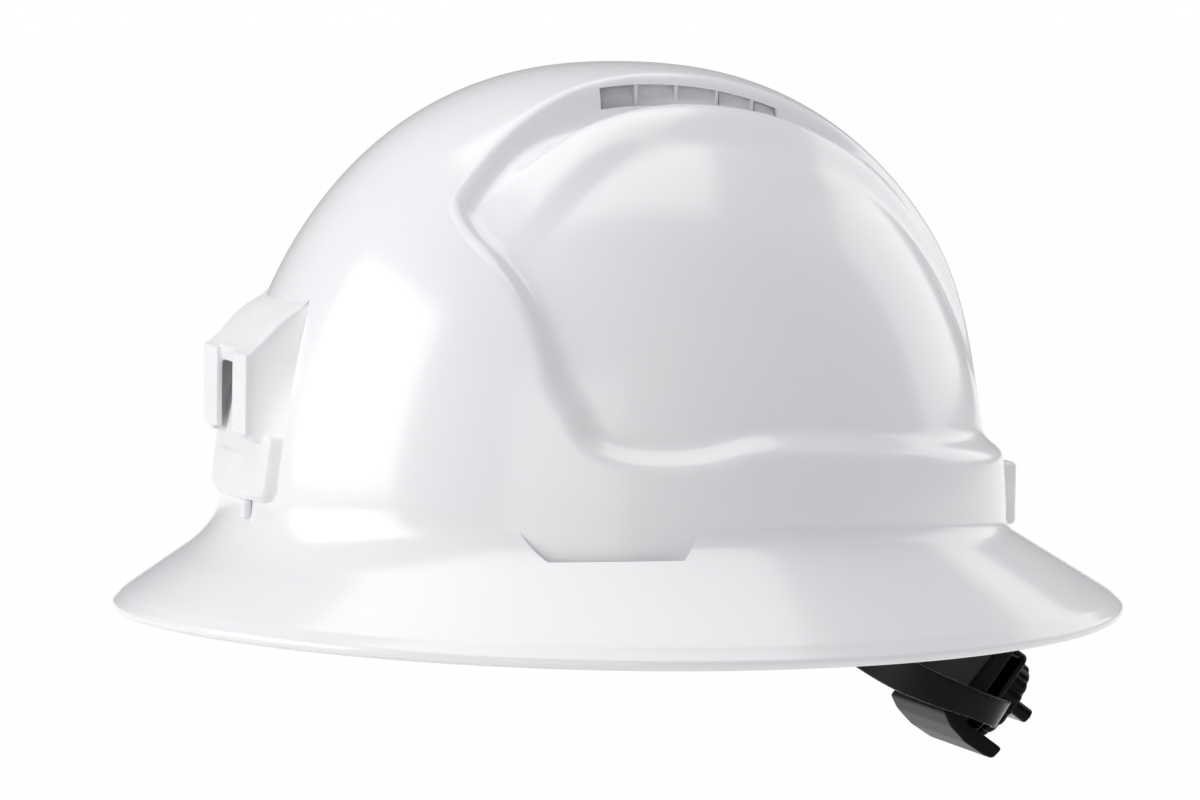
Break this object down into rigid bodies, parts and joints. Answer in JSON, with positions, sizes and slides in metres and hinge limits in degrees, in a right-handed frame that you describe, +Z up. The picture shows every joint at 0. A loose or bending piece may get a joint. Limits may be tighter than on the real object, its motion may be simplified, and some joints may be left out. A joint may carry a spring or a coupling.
{
  "type": "full brim hard hat",
  "caption": "Full brim hard hat with stepped crown, front lamp bracket, strap suspension and a swinging nape ratchet that draws its arms in.",
  "frame": {"origin": "on the ground under the middle of the brim, level with the lowest point of the nape pad", "axes": "+Z up, -Y to the front of the hat, +X to the wearer's left"},
  "size_m": [0.286, 0.3308, 0.2259],
  "materials": {
    "shell": "semi-gloss",
    "bracket": "satin",
    "suspension": "matt",
    "ratchet": "satin",
    "pad": "matt",
    "sweatband": "matt",
    "webbing": "woven",
    "metal": "satin"
  },
  "bodies": {
    "helmet": {"shell": "shell", "lamp_bracket": "bracket", "bracket_pin": "bracket", "bracket_rivet_left": "metal", "bracket_rivet_right": "metal", "headband": "suspension", "sweatband": "sweatband", "hanger_front_left": "suspension", "hanger_middle_left": "suspension", "hanger_rear_left": "suspension", "hanger_rear_right": "suspension", "hanger_middle_right": "suspension", "hanger_front_right": "suspension", "crown_strap_1": "webbing", "crown_strap_2": "webbing", "crown_strap_3": "webbing"},
    "nape_frame": {"nape_arm_left": "ratchet", "nape_arm_right": "ratchet", "pivot_pin_left": "ratchet", "pivot_pin_right": "ratchet", "ratchet_back_plate": "ratchet", "ratchet_cover": "ratchet", "detent_ring": "ratchet", "nape_pad": "pad"},
    "rack_left": {"rack_left": "ratchet"},
    "rack_right": {"rack_right": "ratchet"},
    "knob": {"ratchet_knob": "ratchet", "ratchet_pinion": "ratchet", "knob_screw": "metal"}
  },
  "joints": [
    {"name": "nape_swing", "type": "hinge", "parent": "helmet", "child": "nape_frame", "pos_m": [0, 0.033, 0.058], "axis": [1, 0, 0], "range_deg": [-15, 12]},
    {"name": "knob_turn", "type": "hinge", "parent": "nape_frame", "child": "knob", "pos_m": [0, 0.1245, 0.02133], "axis": [0, 0.809, -0.5878], "range_deg": [-65.5, 65.5]},
    {"name": "rack_left_slide", "type": "slide", "parent": "nape_frame", "child": "rack_left", "axis": [1, 0, 0], "range_m": [-0.007, 0.007], "deforming": ["nape_arm_left"]},
    {"name": "rack_right_slide", "type": "slide", "parent": "nape_frame", "child": "rack_right", "axis": [-1, 0, 0], "range_m": [-0.007, 0.007], "deforming": ["nape_arm_right"]}
  ],
  "couplings": [
    {"joint": "rack_left_slide", "follows": "knob_turn", "m_per_rad": -0.006},
    {"joint": "rack_right_slide", "follows": "knob_turn", "m_per_rad": -0.006}
  ]
}
